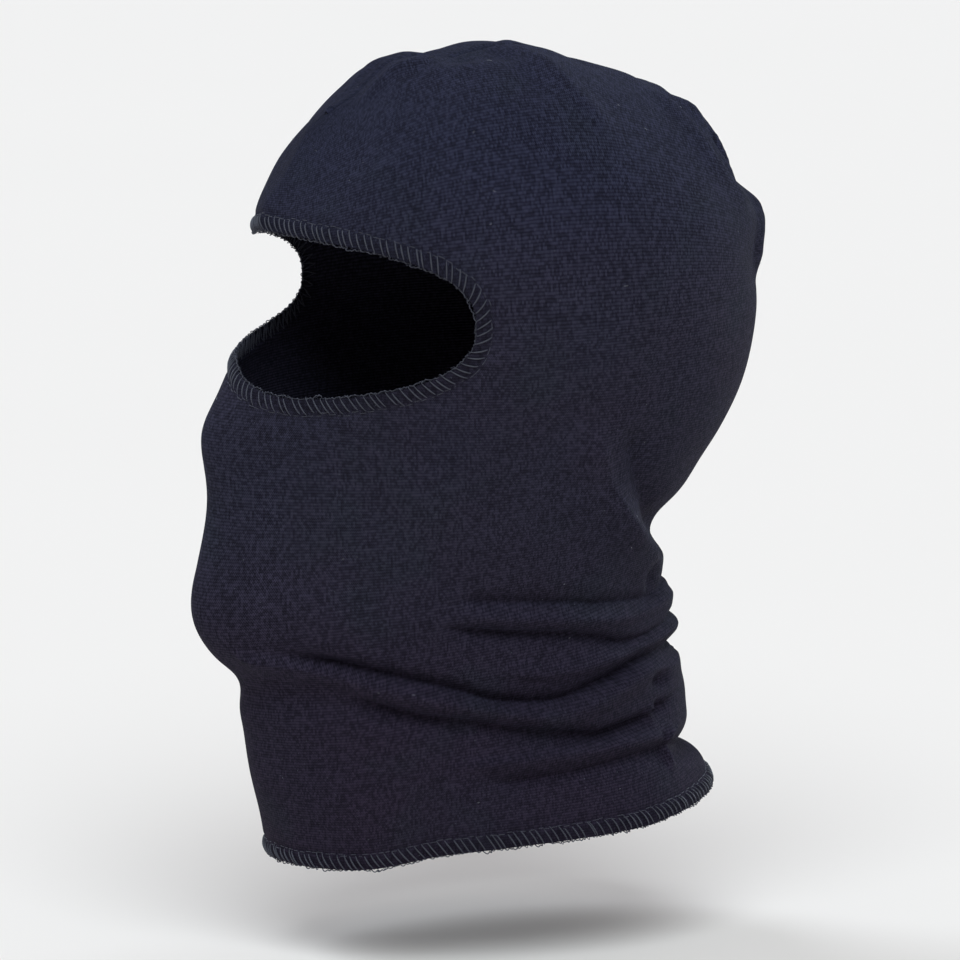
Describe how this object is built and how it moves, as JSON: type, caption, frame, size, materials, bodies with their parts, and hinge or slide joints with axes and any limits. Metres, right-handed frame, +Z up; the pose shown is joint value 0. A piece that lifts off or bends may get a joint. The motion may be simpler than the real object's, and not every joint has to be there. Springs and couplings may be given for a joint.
{
  "type": "balaclava",
  "caption": "Fine-knit hood for head and neck with an opening for the eyes, a sewn crown, overlocked edges and a gathered neck.",
  "frame": {"origin": "the top of the wearer's crown, where the inside of the hood rests on the head", "axes": "+Z up along the wearer's neck, -Y the way the face looks, +X the wearer's left"},
  "size_m": [0.154, 0.2245, 0.3072],
  "materials": {
    "navy_knit": "fine jersey knit, near-black navy, matt",
    "navy_thread": "spun overlock thread, dark grey-blue, slightly glossy",
    "label_satin": "white woven satin, blank"
  },
  "bodies": {
    "hood": {"hood_knit": "navy_knit", "crown_seam_allowance": "navy_knit", "crown_seam_needle_thread": "navy_thread", "crown_seam_left_looper_thread": "navy_thread", "crown_seam_right_looper_thread": "navy_thread", "eye_opening_needle_thread": "navy_thread", "eye_opening_outer_looper_thread": "navy_thread", "eye_opening_inner_looper_thread": "navy_thread", "care_label": "label_satin"},
    "face_cover": {"face_cover_knit": "navy_knit", "face_cover_needle_thread": "navy_thread", "face_cover_outer_looper_thread": "navy_thread", "face_cover_inner_looper_thread": "navy_thread"},
    "neck": {"neck_folds_knit": "navy_knit", "neck_hem_knit": "navy_knit", "hem_needle_thread": "navy_thread", "hem_outer_looper_thread": "navy_thread", "hem_inner_looper_thread": "navy_thread"}
  },
  "joints": [
    {"name": "face_cover_pull", "type": "slide", "parent": "hood", "child": "face_cover", "axis": [0, -0.1701, -0.9854], "range_m": [0, 0.06]},
    {"name": "neck_slide", "type": "slide", "parent": "hood", "child": "neck", "axis": [0, 0, -1], "range_m": [-0.015, 0.03], "deforming": ["neck_folds_knit"]}
  ]
}
